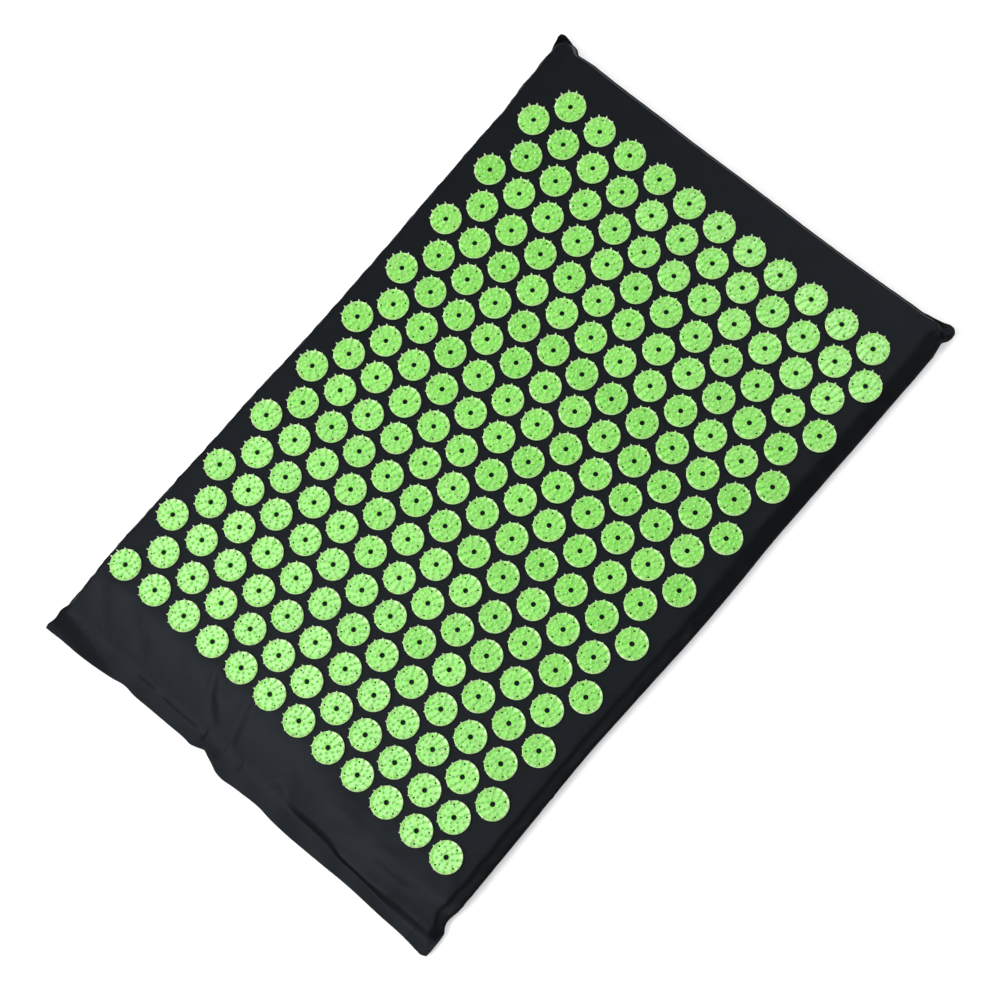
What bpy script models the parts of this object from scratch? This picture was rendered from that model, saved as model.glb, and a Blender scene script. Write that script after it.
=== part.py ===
"""Acupressure mat: a foam pad in a cloth cover with rows of spiked plastic discs.

The long sides run along Y, the closing hem is at -Y, the discs face +Z and the mat lies on Z = 0.
"""
import math

import bmesh
import bpy
from mathutils import Matrix, Vector

# Disc pattern
ROWS = 20
LONG_ROW = 12
DISC_DIAMETER = 0.028
DISC_SPACE = 0.0052
ROW_SPACE = 0.0006
FIELD_TURN = math.radians(-1.6)
DETAILED_ROW = 11

# Plain cloth left round the discs
SIDE_MARGIN = 0.0159
HEAD_MARGIN = 0.0349
FOOT_MARGIN = 0.0437

# Disc
DISC_THICKNESS = 0.0015
DISC_EDGE = 0.0004
DISC_SIDES = 16
PLAIN_DISC_SIDES = 8
CENTRE_HOLE = 0.0040
SMALL_HOLE = 0.0011
SMALL_HOLES = 4
SMALL_HOLE_INSET = 0.0034
SPIKE_LENGTH = 0.0052
SPIKE_WIDTH = 0.0021
SPIKE_ROOT = 0.0003
SPIKE_RINGS = ((12, 0.0020), (9, 0.0056), (6, 0.0093))

# Cover
PAD_THICKNESS = 0.020
CLOTH = 0.0010
CORNER_RADIUS = 0.024
SEAM_LIP = 0.0015
SHOULDER = 0.010
UNDER_SHOULDER = 0.008
SIDE_DRAW = 0.0020
END_DRAW = 0.0015
CORNER_TAB = 0.0060
TAB_SHARPNESS = 8

# Closing hem at the foot end
BAND = 0.018
BAND_LIP = 0.0020
FOOT_SHOULDER = 0.012
FOOT_BLEND = 0.045
FLAP_THICKNESS = 0.0014
TAPE_THICKNESS = 0.0014
TAPE_WIDTH = 0.0125
TAPE_INSET = 0.0016
TAPE_END = 0.0040
HEM_END = 0.0225
FLAP_OPENING_SIDES = 6

# Foam
FOAM_CLEARANCE = 0.0008
FOAM_ROUNDING = 0.008

# Clearances
GAP = 0.0003

# Facets of the soft outlines
CORNER_STEPS = 5
SIDE_STEPS = 7
END_STEPS = 5
SHOULDER_STEPS = 4
FOAM_STEPS = 3
FOOT_CROWDING = 1.5

# Sizes that follow
PITCH = DISC_DIAMETER + DISC_SPACE
ROW_STEP = DISC_DIAMETER + ROW_SPACE
FIELD_WIDTH = PITCH * (LONG_ROW - 1) + DISC_DIAMETER
FIELD_LENGTH = ROW_STEP * (ROWS - 1) + DISC_DIAMETER
HALF_WIDTH = FIELD_WIDTH / 2 + SIDE_MARGIN
LENGTH = BAND + FOOT_MARGIN + FIELD_LENGTH + HEAD_MARGIN
FOOT_Y = -LENGTH / 2
HEAD_Y = LENGTH / 2
HINGE_EDGE_Y = FOOT_Y + BAND
FIELD_CENTRE_Y = HINGE_EDGE_Y + FOOT_MARGIN + FIELD_LENGTH / 2

# Heights of the closing hem's layers, from the floor up
LOOP_Z = CLOTH + GAP
HOOK_Z = LOOP_Z + TAPE_THICKNESS + GAP
FLAP_Z = HOOK_Z + TAPE_THICKNESS + GAP
FLAP_MIDDLE_Z = FLAP_Z + FLAP_THICKNESS / 2
BAND_SKIN_Z = FLAP_MIDDLE_Z + CLOTH / 2
SEAM_SKIN_Z = PAD_THICKNESS / 2 + GAP / 2 + CLOTH
FLAP_HALF = HALF_WIDTH - HEM_END
HINGE_Y = HINGE_EDGE_Y - GAP - FLAP_THICKNESS / 2

for old in list(bpy.data.objects):
    bpy.data.objects.remove(old, do_unlink=True)

mat_collection = bpy.data.collections.new("acupressure_mat")
bpy.context.scene.collection.children.link(mat_collection)
cutter_collection = bpy.data.collections.new("cutters")
bpy.context.scene.collection.children.link(cutter_collection)


def material(name, color, roughness):
    made = bpy.data.materials.new(name)
    made.use_nodes = True
    shader = made.node_tree.nodes["Principled BSDF"]
    shader.inputs["Base Color"].default_value = (*color, 1.0)
    shader.inputs["Roughness"].default_value = roughness
    shader.inputs["Metallic"].default_value = 0.0
    made.diffuse_color = (*color, 1.0)
    return made


cover_cloth = material("cover_cloth", (0.016, 0.017, 0.021), 0.90)
under_cloth = material("under_cloth", (0.014, 0.015, 0.018), 0.92)
disc_plastic = material("disc_plastic", (0.30, 0.86, 0.16), 0.38)
foam_white = material("foam_white", (0.78, 0.76, 0.68), 0.95)
hook_nylon = material("hook_nylon", (0.010, 0.010, 0.012), 0.60)
loop_nylon = material("loop_nylon", (0.018, 0.018, 0.020), 0.95)


def new_object(name, mesh, used, collection=mat_collection):
    obj = bpy.data.objects.new(name, mesh)
    if used.name not in mesh.materials:
        mesh.materials.append(used)
    collection.objects.link(obj)
    return obj


def finish_mesh(bm, name, smooth_angle=None):
    bmesh.ops.recalc_face_normals(bm, faces=bm.faces)
    mesh = bpy.data.meshes.new(name)
    bm.to_mesh(mesh)
    bm.free()
    if smooth_angle is not None:
        mesh.shade_smooth()
        mesh.set_sharp_from_angle(angle=math.radians(smooth_angle))
    return mesh


def make_cutter(name, mesh, used):
    obj = new_object(name, mesh, used, cutter_collection)
    obj.hide_render = True
    obj.display_type = "WIRE"
    return obj


def boolean(obj, operation, cutter):
    step = obj.modifiers.new(cutter.name, "BOOLEAN")
    step.operation = operation
    step.object = cutter
    step.solver = "EXACT"
    step.material_mode = "TRANSFER"


def smooth_step(value, start, end):
    t = min(max((value - start) / (end - start), 0.0), 1.0)
    return t * t * (3 - 2 * t)


# Outline of the cover, drawn in along its sides, as a closed ring of points
def drawn_in(x, y):
    across = min(abs(x) / HALF_WIDTH, 1.0)
    along = min(abs(y) / HEAD_Y, 1.0)
    return (
        x * (1 - SIDE_DRAW / HALF_WIDTH * (1 - along ** 2)),
        y * (1 - END_DRAW / HEAD_Y * (1 - across ** 2)),
    )


def outline(side_inset, foot_inset, head_inset, radius, tab=0.0, power=2):
    right = HALF_WIDTH - side_inset
    foot = FOOT_Y + foot_inset
    head = HEAD_Y - head_inset
    centres = (
        (right - radius, foot + radius, -90),
        (right - radius, head - radius, 0),
        (radius - right, head - radius, 90),
        (radius - right, foot + radius, 180),
    )
    arcs = []
    for cx, cy, start in centres:
        arc = []
        for step in range(CORNER_STEPS + 1):
            angle = math.radians(start + 90 * step / CORNER_STEPS)
            reach = radius + tab * math.sin(2 * angle) ** 2
            c = math.cos(angle)
            s = math.sin(angle)
            x = cx + math.copysign(abs(c) ** (2 / power), c) * reach
            y = cy + math.copysign(abs(s) ** (2 / power), s) * reach
            arc.append((x, y))
        arcs.append(arc)
    ring = []
    for index, arc in enumerate(arcs):
        ring.extend(arc)
        following = arcs[(index + 1) % 4][0]
        steps = END_STEPS if index % 2 else SIDE_STEPS
        for step in range(1, steps):
            share = step / steps
            if index == 0:
                share = share ** FOOT_CROWDING
            elif index == 2:
                share = 1 - (1 - share) ** FOOT_CROWDING
            ring.append((
                arc[-1][0] + (following[0] - arc[-1][0]) * share,
                arc[-1][1] + (following[1] - arc[-1][1]) * share,
            ))
    return [drawn_in(x, y) for x, y in ring]


def loft(bm, rings):
    loops = [[bm.verts.new(point) for point in ring] for ring in rings]
    count = len(rings[0])
    for lower, upper in zip(loops, loops[1:]):
        for index in range(count):
            after = (index + 1) % count
            bm.faces.new((lower[index], lower[after], upper[after]))
            bm.faces.new((lower[index], upper[after], upper[index]))
    return loops


# Height of the seam's upper face, which sinks to the flat hem at the foot end
def seam_height(y):
    rise = smooth_step(y, HINGE_EDGE_Y, HINGE_EDGE_Y + FOOT_BLEND)
    return BAND_SKIN_Z + (SEAM_SKIN_Z - BAND_SKIN_Z) * rise


def quarter_turn(steps):
    return [math.radians(90 * step / steps) for step in range(steps + 1)]


def cloth_offset(across, rise, angle):
    run = rise * math.cos(angle)
    climb = across * math.sin(angle)
    length = math.hypot(run, climb)
    if length < 1e-9:
        return CLOTH, CLOTH
    return CLOTH * run / length, CLOTH * climb / length


# Cloth shell from the seam to its flat middle: an outer skin, an inner skin and the seam's edge
def cloth_shell(bm, shoulder, foot_shoulder, edge_height, flat, foot_edge):
    facing = 1 if flat > foot_edge else -1
    edge = outline(0, 0, 0, CORNER_RADIUS, CORNER_TAB, TAB_SHARPNESS)
    outer = [[(x, y, edge_height(x, y)) for x, y in edge]]
    inner = [[(x, y, edge_height(x, y) - facing * CLOTH) for x, y in edge]]
    for angle in quarter_turn(SHOULDER_STEPS):
        drop = 1 - math.cos(angle)
        side = SEAM_LIP + shoulder * drop
        foot = BAND + BAND_LIP + foot_shoulder * drop
        ring = outline(side, foot, side, CORNER_RADIUS - side)
        rise = math.sin(angle)
        outer.append([(x, y, edge_height(x, y) * (1 - rise) + flat * rise) for x, y in ring])
        side += cloth_offset(shoulder, abs(flat - SEAM_SKIN_Z), angle)[0]
        foot += cloth_offset(foot_shoulder, abs(flat - foot_edge), angle)[0]
        ring = outline(side, foot, side, CORNER_RADIUS - side)
        points = []
        for x, y in ring:
            seam = edge_height(x, y)
            depth = CLOTH if angle == 0 else cloth_offset(shoulder, abs(flat - seam), angle)[1]
            points.append((x, y, seam * (1 - rise) + flat * rise - facing * depth))
        inner.append(points)
    loops = loft(bm, list(reversed(outer)) + inner)
    bm.faces.new(loops[0])
    bm.faces.new(loops[-1])


# Foam pad, a slab with rounded edges
def foam_rings():
    reach = SEAM_LIP + CLOTH + FOAM_CLEARANCE
    foot_reach = BAND + BAND_LIP + CLOTH + FOAM_CLEARANCE + FOOT_SHOULDER / 4
    bottom = CLOTH + GAP
    top = PAD_THICKNESS - CLOTH - GAP
    rings = []
    for level, turn in ((bottom, -1), (top, 1)):
        for angle in sorted(turn * step for step in quarter_turn(FOAM_STEPS)):
            inset = FOAM_ROUNDING * (1 - math.cos(angle))
            z = level - turn * FOAM_ROUNDING * (1 - abs(math.sin(angle)))
            ring = outline(reach + inset, foot_reach + inset, reach + inset, CORNER_RADIUS - reach - inset)
            rings.append([(x, y, z) for x, y in ring])
    return rings


bm = bmesh.new()
foam_loops = loft(bm, foam_rings())
bm.faces.new(list(reversed(foam_loops[0])))
bm.faces.new(foam_loops[-1])
new_object("foam_pad", finish_mesh(bm, "foam_pad", 35), foam_white)


# Top panel of the cover
def top_edge(x, y):
    return seam_height(y)


bm = bmesh.new()
cloth_shell(bm, SHOULDER, FOOT_SHOULDER, top_edge, PAD_THICKNESS, BAND_SKIN_Z)
top_panel = new_object("cover_top_panel", finish_mesh(bm, "cover_top_panel", 35), cover_cloth)


# Bottom panel of the cover, flat where it lies, with its hem under the closing flap
def under_edge(x, y):
    edge = smooth_step(abs(x), FLAP_HALF, HALF_WIDTH)
    at_foot = 1 - smooth_step(y, HINGE_EDGE_Y + BAND_LIP, HINGE_EDGE_Y + FOOT_BLEND)
    return (seam_height(y) - 2 * CLOTH - GAP) * (1 - (1 - edge) * at_foot)


bm = bmesh.new()
cloth_shell(bm, UNDER_SHOULDER, UNDER_SHOULDER, under_edge, 0.0, 0.0)
new_object("cover_bottom_panel", finish_mesh(bm, "cover_bottom_panel", 35), under_cloth)

# Slot in the top panel for the closing flap
bm = bmesh.new()
bmesh.ops.create_cube(bm, size=1.0)
slot_half = FLAP_HALF + GAP
slot_start = FOOT_Y - BAND
bmesh.ops.scale(bm, vec=(2 * slot_half, HINGE_EDGE_Y - slot_start, PAD_THICKNESS / 2), verts=bm.verts)
bmesh.ops.translate(bm, vec=(0, (HINGE_EDGE_Y + slot_start) / 2, BAND_SKIN_Z), verts=bm.verts)
boolean(top_panel, "DIFFERENCE", make_cutter("flap_slot", finish_mesh(bm, "flap_slot"), cover_cloth))


# Closing flap: the folded hem, round at its fold and at its hinge line
def flap_profile():
    radius = FLAP_THICKNESS / 2
    points = []
    for step in range(FLAP_OPENING_SIDES + 1):
        angle = math.radians(-90 + 180 * step / FLAP_OPENING_SIDES)
        points.append((radius * math.cos(angle), radius * math.sin(angle)))
    fold = FOOT_Y + radius - HINGE_Y
    for step in range(FLAP_OPENING_SIDES + 1):
        angle = math.radians(90 + 180 * step / FLAP_OPENING_SIDES)
        points.append((fold + radius * math.cos(angle), radius * math.sin(angle)))
    return points


bm = bmesh.new()
end = bm.faces.new([bm.verts.new((-FLAP_HALF, y, z)) for y, z in flap_profile()])
swept = bmesh.ops.extrude_face_region(bm, geom=[end])
moved = [item for item in swept["geom"] if isinstance(item, bmesh.types.BMVert)]
bmesh.ops.translate(bm, vec=(2 * FLAP_HALF, 0, 0), verts=moved)
flap = new_object("closure_flap", finish_mesh(bm, "closure_flap", 40), cover_cloth)
flap.location = (0, HINGE_Y, FLAP_MIDDLE_Z)


# Hook and loop tapes
def tape_mesh(name):
    bm = bmesh.new()
    bmesh.ops.create_cube(bm, size=1.0)
    size = (2 * (FLAP_HALF - TAPE_END), TAPE_WIDTH, TAPE_THICKNESS)
    bmesh.ops.scale(bm, vec=size, verts=bm.verts)
    upright = [edge for edge in bm.edges if abs(edge.verts[0].co.z - edge.verts[1].co.z) > TAPE_THICKNESS / 2]
    bmesh.ops.bevel(bm, geom=upright, offset=TAPE_THICKNESS, segments=2, profile=0.5, affect="EDGES")
    return finish_mesh(bm, name)


TAPE_Y = FOOT_Y + TAPE_INSET + TAPE_WIDTH / 2
hook = new_object("hook_strip", tape_mesh("hook_strip"), hook_nylon)
hook.parent = flap
hook.location = Vector((0, TAPE_Y, HOOK_Z + TAPE_THICKNESS / 2)) - flap.location
loop_tape = new_object("loop_strip", tape_mesh("loop_strip"), loop_nylon)
loop_tape.location = (0, TAPE_Y, LOOP_Z + TAPE_THICKNESS / 2)


# Places of the discs, row by row from the head end, in rows that nest half a pitch apart
def disc_places():
    turn = Matrix.Rotation(FIELD_TURN, 3, "Z")
    places = []
    for row in range(ROWS):
        count = LONG_ROW - 1 + row % 2
        y = ((ROWS - 1) / 2 - row) * ROW_STEP
        for column in range(count):
            x = (column - (count - 1) / 2) * PITCH
            spot = turn @ Vector((x, y, 0))
            spin = math.radians((137.5 * len(places)) % 90)
            places.append((row, column, spot.x, FIELD_CENTRE_Y + spot.y, spin))
    return places


def upright_cylinder(bm, sides, radius, bottom, top, x=0.0, y=0.0, spin=0.0, tip=None):
    matrix = Matrix.Translation((x, y, (bottom + top) / 2)) @ Matrix.Rotation(spin, 4, "Z")
    bmesh.ops.create_cone(
        bm, cap_ends=True, segments=sides, radius1=radius, radius2=radius if tip is None else tip,
        depth=top - bottom, matrix=matrix,
    )


# Spiked disc, made once and shared by every disc of the detailed row
def disc_mesh():
    radius = DISC_DIAMETER / 2
    bm = bmesh.new()
    upright_cylinder(bm, DISC_SIDES, radius, 0, DISC_THICKNESS)
    rim = [edge for edge in bm.edges if all(vert.co.z > DISC_THICKNESS * 0.9 for vert in edge.verts)]
    bmesh.ops.bevel(bm, geom=rim, offset=DISC_EDGE, segments=1, affect="EDGES")
    plate = new_object("disc_plate", finish_mesh(bm, "disc_plate"), disc_plastic, cutter_collection)

    bm = bmesh.new()
    for ring, (count, inset) in enumerate(SPIKE_RINGS):
        for index in range(count):
            angle = 2 * math.pi * (index + 0.5) / count
            reach = radius - inset
            upright_cylinder(
                bm, 4, SPIKE_WIDTH / 2 * math.sqrt(2), DISC_THICKNESS - SPIKE_ROOT,
                DISC_THICKNESS + SPIKE_LENGTH, reach * math.cos(angle), reach * math.sin(angle),
                angle + math.pi / 4, tip=0.0,
            )
    boolean(plate, "UNION", make_cutter("disc_spikes", finish_mesh(bm, "disc_spikes"), disc_plastic))

    bm = bmesh.new()
    upright_cylinder(bm, 8, CENTRE_HOLE / 2, -DISC_THICKNESS, 2 * DISC_THICKNESS)
    for index in range(SMALL_HOLES):
        angle = 2 * math.pi * index / SMALL_HOLES
        reach = radius - SMALL_HOLE_INSET
        upright_cylinder(
            bm, 4, SMALL_HOLE / 2, -DISC_THICKNESS, 2 * DISC_THICKNESS,
            reach * math.cos(angle), reach * math.sin(angle),
        )
    boolean(plate, "DIFFERENCE", make_cutter("disc_holes", finish_mesh(bm, "disc_holes"), disc_plastic))

    bpy.context.view_layer.update()
    evaluated = plate.evaluated_get(bpy.context.evaluated_depsgraph_get())
    mesh = bpy.data.meshes.new_from_object(evaluated)
    mesh.name = "spiked_disc"
    mesh.shade_smooth()
    mesh.set_sharp_from_angle(angle=math.radians(35))
    bpy.data.objects.remove(plate, do_unlink=True)
    return mesh


spiked_disc = disc_mesh()
plain_discs = bmesh.new()
for row, column, x, y, spin in disc_places():
    if row == DETAILED_ROW:
        disc = new_object(f"spiked_disc_{column + 1:02d}", spiked_disc, disc_plastic)
        disc.location = (x, y, PAD_THICKNESS + GAP)
        disc.rotation_euler = (0, 0, spin)
    else:
        top = PAD_THICKNESS + GAP + DISC_THICKNESS
        upright_cylinder(
            plain_discs, PLAIN_DISC_SIDES, DISC_DIAMETER / 2, PAD_THICKNESS - CLOTH * 0.6, top, x, y, spin,
        )

# The other rows are plain plates, one body with the cloth that carries them
plates = make_cutter("plain_discs", finish_mesh(plain_discs, "plain_discs"), disc_plastic)
boolean(top_panel, "UNION", plates)
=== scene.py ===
import math

import bpy
import numpy as np
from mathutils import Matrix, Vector
from mathutils.geometry import delaunay_2d_cdt


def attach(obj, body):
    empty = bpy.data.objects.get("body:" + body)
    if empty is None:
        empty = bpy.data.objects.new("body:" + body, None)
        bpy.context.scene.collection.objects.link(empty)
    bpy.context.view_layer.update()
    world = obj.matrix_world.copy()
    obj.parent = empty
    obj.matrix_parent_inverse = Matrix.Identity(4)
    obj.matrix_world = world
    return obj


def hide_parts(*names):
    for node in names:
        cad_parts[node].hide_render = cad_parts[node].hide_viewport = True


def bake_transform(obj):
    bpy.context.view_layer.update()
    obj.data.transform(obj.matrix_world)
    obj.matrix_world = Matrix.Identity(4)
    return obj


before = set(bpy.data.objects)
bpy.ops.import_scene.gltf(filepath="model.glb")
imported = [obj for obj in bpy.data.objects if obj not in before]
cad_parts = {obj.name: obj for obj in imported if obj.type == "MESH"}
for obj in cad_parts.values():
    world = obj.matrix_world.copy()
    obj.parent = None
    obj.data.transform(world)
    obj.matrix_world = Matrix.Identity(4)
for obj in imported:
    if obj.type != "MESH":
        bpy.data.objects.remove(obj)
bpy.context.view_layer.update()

# Acupressure mat, in metres: the long sides run along Y, the closing hem is at -Y, the discs face +Z
# and the mat lies on Z = 0.

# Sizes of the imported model
HALF_WIDTH = 0.2125
HEAD_Y = 0.334
FOOT_Y = -0.334
HINGE_EDGE_Y = -0.316
FLAP_HALF = 0.190
GAP = 0.0003
PAD_TOP = 0.020
BAND_SKIN_Z = 0.0059
SEAM_SKIN_Z = 0.01115
FOOT_BLEND = 0.045
DISC_BASE_Z = 0.0203
DISC_RADIUS = 0.014
ROWS = 20
LONG_ROW = 12
PITCH = 0.0332
ROW_STEP = 0.0286
FIELD_TURN = math.radians(-1.6)
FOOT_MARGIN = 0.0437
FIELD_CENTRE_Y = HINGE_EDGE_Y + FOOT_MARGIN + ROW_STEP * (ROWS - 1) / 2 + DISC_RADIUS
DETAILED_ROW = 11
TAPE_HALF = 0.186
TAPE_NEAR_Y = -0.3199
TAPE_FAR_Y = -0.3324
HOOK_TAPE_Z = (0.0037, 0.0044)
LOOP_TAPE_Z = (0.0013, 0.0020)

# The seam's line on the four sides as the mat lies, in millimetres: place along the side, then across
RIGHT_EDGE = (
    (-334, 212.6), (-330, 212.8), (-320, 212.9), (-314, 212.6), (-310, 212.0), (-307, 210.0),
    (-303, 208.3), (-299, 208.0), (-290, 209.8), (-280, 210.2), (-240, 210.1), (-200, 209.8),
    (-160, 209.2), (-120, 209.2), (-80, 210.5), (-40, 212.0), (0, 213.5), (60, 214.0), (100, 213.4),
    (140, 214.0), (180, 214.7), (220, 215.7), (260, 216.2), (300, 216.8), (311, 216.4),
    (316.5, 215.2), (319.5, 215.2), (322, 217.5), (325, 218.6), (329, 218.9), (331.5, 218.3),
    (334, 216.0),
)
LEFT_EDGE = (
    (-334, -215.1), (-330, -215.5), (-327, -214.6), (-324, -214.9), (-321, -216.3), (-317, -216.1),
    (-314.5, -215.0), (-312, -214.4), (-308, -214.7), (-300, -214.3), (-290, -213.9),
    (-280, -213.6), (-260, -214.3), (-240, -214.3), (-200, -213.7), (-160, -212.4), (-120, -211.9),
    (-80, -211.3), (-40, -210.0), (0, -208.9), (60, -208.4), (140, -209.0), (220, -209.4),
    (260, -209.4), (285, -211.3), (300, -211.2), (304, -211.3), (308, -212.4), (312, -212.8),
    (315, -212.4), (317, -211.8), (319, -212.9), (322, -214.1), (325, -214.6), (328, -214.9),
    (331.5, -215.3), (334, -214.6),
)
HEAD_EDGE = (
    (-212.5, 339.9), (-210.5, 340.6), (-207, 340.6), (-204, 340.2), (-200.5, 339.7), (-197, 339.0),
    (-194, 337.8), (-192, 336.2), (-190, 334.4), (-186, 334.5), (-175, 335.2), (-160, 334.8),
    (-140, 334.2), (-100, 333.8), (-60, 332.8), (0, 332.5), (30, 332.2), (60, 331.6), (90, 331.4),
    (120, 331.6), (150, 332.0), (175, 332.7), (188, 332.8), (192, 333.3), (198, 334.7),
    (201, 335.2), (204, 336.2), (207.5, 337.4), (210.5, 337.5), (212.5, 337.0),
)
FOOT_EDGE = (
    (-212.5, -340.0), (-205, -339.6), (-198, -339.0), (-180, -338.6), (-165, -337.6),
    (-150, -336.0), (-140, -334.6), (-132, -332.8), (-127, -332.5), (-120, -333.3), (-100, -333.0),
    (-80, -332.5), (-60, -331.9), (-51, -332.2), (-46, -330.5), (-38, -328.3), (-35, -329.6),
    (-28, -332.3), (-19, -335.7), (-10, -336.4), (-4, -335.6), (10, -334.3), (28, -333.4),
    (40, -334.5), (57, -335.0), (90, -334.2), (125, -332.8), (165, -333.2), (195, -333.5),
    (204, -334.3), (209, -334.3), (212.5, -332.6),
)
# Where the pad's end shows as a step over the right half of the hem, in millimetres
STEP_LINE = (
    (30, -317.0), (50, -317.0), (75, -316.2), (95, -317.6), (105, -319.6), (125, -320.2),
    (145, -321.0), (165, -321.4), (190, -321.2), (212, -320.4),
)

# Folds: path in millimetres, half width and depth in metres, share of the depth that the ridge has
PLAIN_FOLDS = (
    (((-77, -266), (-62, -293), (-42, -312)), 0.0046, 0.0010, 0.4),
    (((-37, -266), (-30, -290), (-24, -318)), 0.0044, 0.0008, 0.4),
    (((-206, -274), (-186, -296), (-172, -309)), 0.0060, 0.0004, 0.3),
    (((-172, -273), (-150, -290), (-128, -306)), 0.0060, 0.0005, 0.4),
    (((-114, -272), (-98, -290), (-84, -303)), 0.0055, 0.0003, 0.4),
    (((128, -302.5), (150, -303.5), (174, -301.5)), 0.0026, 0.0004, 0.7),
    (((20, -283), (34, -298), (46, -311)), 0.0050, 0.0004, 0.4),
    (((148, -276), (112, -296), (84, -309)), 0.0060, 0.0004, 0.3),
)
HEM_FOLDS = (
    (((-49.5, -311), (-48.2, -317), (-47.5, -324)), 0.0015, 0.0007, 0.5),
    (((-10, -311), (-8, -317), (-6, -323)), 0.0018, 0.0005, 0.6),
    (((-30, -306), (-27, -316), (-27, -330)), 0.0018, 0.0004, 0.6),
    (((18, -317), (30, -306.5), (44, -317)), 0.0022, -0.0005, 0.4),
)
KNOB_CREASE = (((203.5, 329.5), (210.0, 327.0), (217.5, 323.5)), 0.0015, 0.0016, 0.2)
CURLED_EDGE = (((186, 331.0), (199, 332.4), (211, 334.6)), 0.0008, 0.0009, 0.3)

# Cloth: corner radius, lip along the seam, width of the walls over the pad's sides, thickness
CORNER = 0.021
LIP = 0.0014
STEEP_WALL = 0.0023
SLOPED_WALL = 0.0086
CLOTH = 0.0009
HEM_THICKNESS = 0.0013
HEM_THINNED = 0.0011
HEM_LAP = 0.0012
# How much the pinch in the hem lifts the upper cloth, and the lower cloth and the tapes
PINCH_HEIGHT = 0.0016
PINCH_LIFT = 0.0010
# How far the hem's cloth reaches in under the upper cloth, and up to where it has finer steps
HEM_TUCK = 0.0026
HEM_FINE_TO_Y = -0.3220

# Foam: its distances from the seam, the hinge, the corners and the two cloths, and its least thickness
FOAM_INSET = 0.0070
FOAM_FROM_HINGE = 0.0110
FOAM_FROM_CORNER = 0.0062
FOAM_UNDER_SKIN = 0.0021
FOAM_TOP_PLAY = 0.0006
FOAM_LOW_PLAY = 0.0005
FOAM_THINNEST = 0.0020

# Grids of the cloth and the foam: steps across and along
TOP_GRID = (0.0030, 0.0036)
LOW_GRID = (0.0042, 0.0050)
FOAM_GRID = (0.0070, 0.0080)
# Finer steps, and where they are: between two places across, and up to one along
FINE_GRID = 0.0015
LOW_SLOPE_GRID = 0.0034
FOAM_SLOPE_GRID = 0.0040
FINE_LEFT_X = -0.078
FINE_RIGHT_X = -0.002
FINE_UP_TO_Y = -0.268
# Lines close together at the seam: how far in they reach, and how many steps that is
SIDE_LINES = (0.0200, 16)
HEAD_LINES = (0.0190, 15)

# Faces that meet at more than this angle, in degrees, have a sharp edge
SHARP_FROM = 42


# Shapes
def smooth(value, start, end):
    t = np.clip((value - start) / (end - start), 0, 1)
    return t * t * (3 - 2 * t)


def window(value, start, end, soft):
    return smooth(value, start - soft, start + soft) * (1 - smooth(value, end - soft, end + soft))


def through(points, at):
    """A smooth curve through points given in millimetres, read at places in metres."""
    place, value = np.array(points, float).T / 1000
    slope = np.gradient(value, place)
    at = np.clip(at, place[0], place[-1])
    i = np.clip(np.searchsorted(place, at) - 1, 0, len(place) - 2)
    step = place[i + 1] - place[i]
    t = (at - place[i]) / step
    ends = (2 * t ** 3 - 3 * t ** 2 + 1) * value[i] + (3 * t ** 2 - 2 * t ** 3) * value[i + 1]
    return ends + step * ((t ** 3 - 2 * t ** 2 + t) * slope[i] + (t ** 3 - t ** 2) * slope[i + 1])


def wander(x, y, size, seed, waves=11):
    """A smooth uneven field with bumps of about that size and a spread of about 1."""
    rng = np.random.default_rng(seed)
    total = np.zeros(np.broadcast(x, y).shape)
    for _ in range(waves):
        turn, phase = rng.uniform(0, 2 * math.pi, 2)
        length = size * rng.uniform(0.7, 1.8)
        total += np.sin((x * math.cos(turn) + y * math.sin(turn)) * 2 * math.pi / length + phase)
    return total / math.sqrt(waves / 2)


def fold(x, y, path, width, depth, ridge=0.5):
    """A valley along a path in millimetres, with a ridge on its left, as a height to add."""
    points = np.array(path, float) / 1000
    lengths = np.linalg.norm(np.diff(points, axis=0), axis=1)
    total, run = lengths.sum(), 0.0
    best = np.full(x.shape, 1e9)
    side = np.zeros(x.shape)
    share = np.zeros(x.shape)
    for a, b, length in zip(points, points[1:], lengths):
        way = (b - a) / length
        t = np.clip((x - a[0]) * way[0] + (y - a[1]) * way[1], 0, length)
        off_x = x - a[0] - way[0] * t
        off_y = y - a[1] - way[1] * t
        off = np.hypot(off_x, off_y)
        nearer = off < best
        best = np.where(nearer, off, best)
        side = np.where(nearer, way[0] * off_y - way[1] * off_x, side)
        share = np.where(nearer, (run + t) / total, share)
        run += length
    taper = smooth(share, 0, 0.25) * (1 - smooth(share, 0.75, 1))
    valley = np.exp(-(best / width) ** 2)
    crest = np.exp(-((side - 1.7 * width) / width) ** 2) * (best < 4 * width)
    return depth * taper * (ridge * crest - valley)


def on_outline(u, v):
    """From the plain rectangle of the pattern to the place on the mat as it lies."""
    def fade(distance, end):
        return 1 - smooth(distance, 0.003, end)

    x = u + (through(RIGHT_EDGE, v) - HALF_WIDTH) * fade(HALF_WIDTH - u, 0.040)
    x = x + (through(LEFT_EDGE, v) + HALF_WIDTH) * fade(HALF_WIDTH + u, 0.040)
    y = v + (through(HEAD_EDGE, u) - HEAD_Y) * fade(HEAD_Y - v, 0.040)
    y = y + (through(FOOT_EDGE, u) - FOOT_Y) * fade(v - FOOT_Y, 0.0165)
    return x, y


def inside(u, v):
    """Distance inside the seam at the sides and the head, negative in the corner tabs."""
    across = np.maximum(CORNER - (HALF_WIDTH - np.abs(u)), 0)
    along = np.maximum(CORNER - (HEAD_Y - v), 0)
    return CORNER - np.hypot(across, along)


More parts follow.
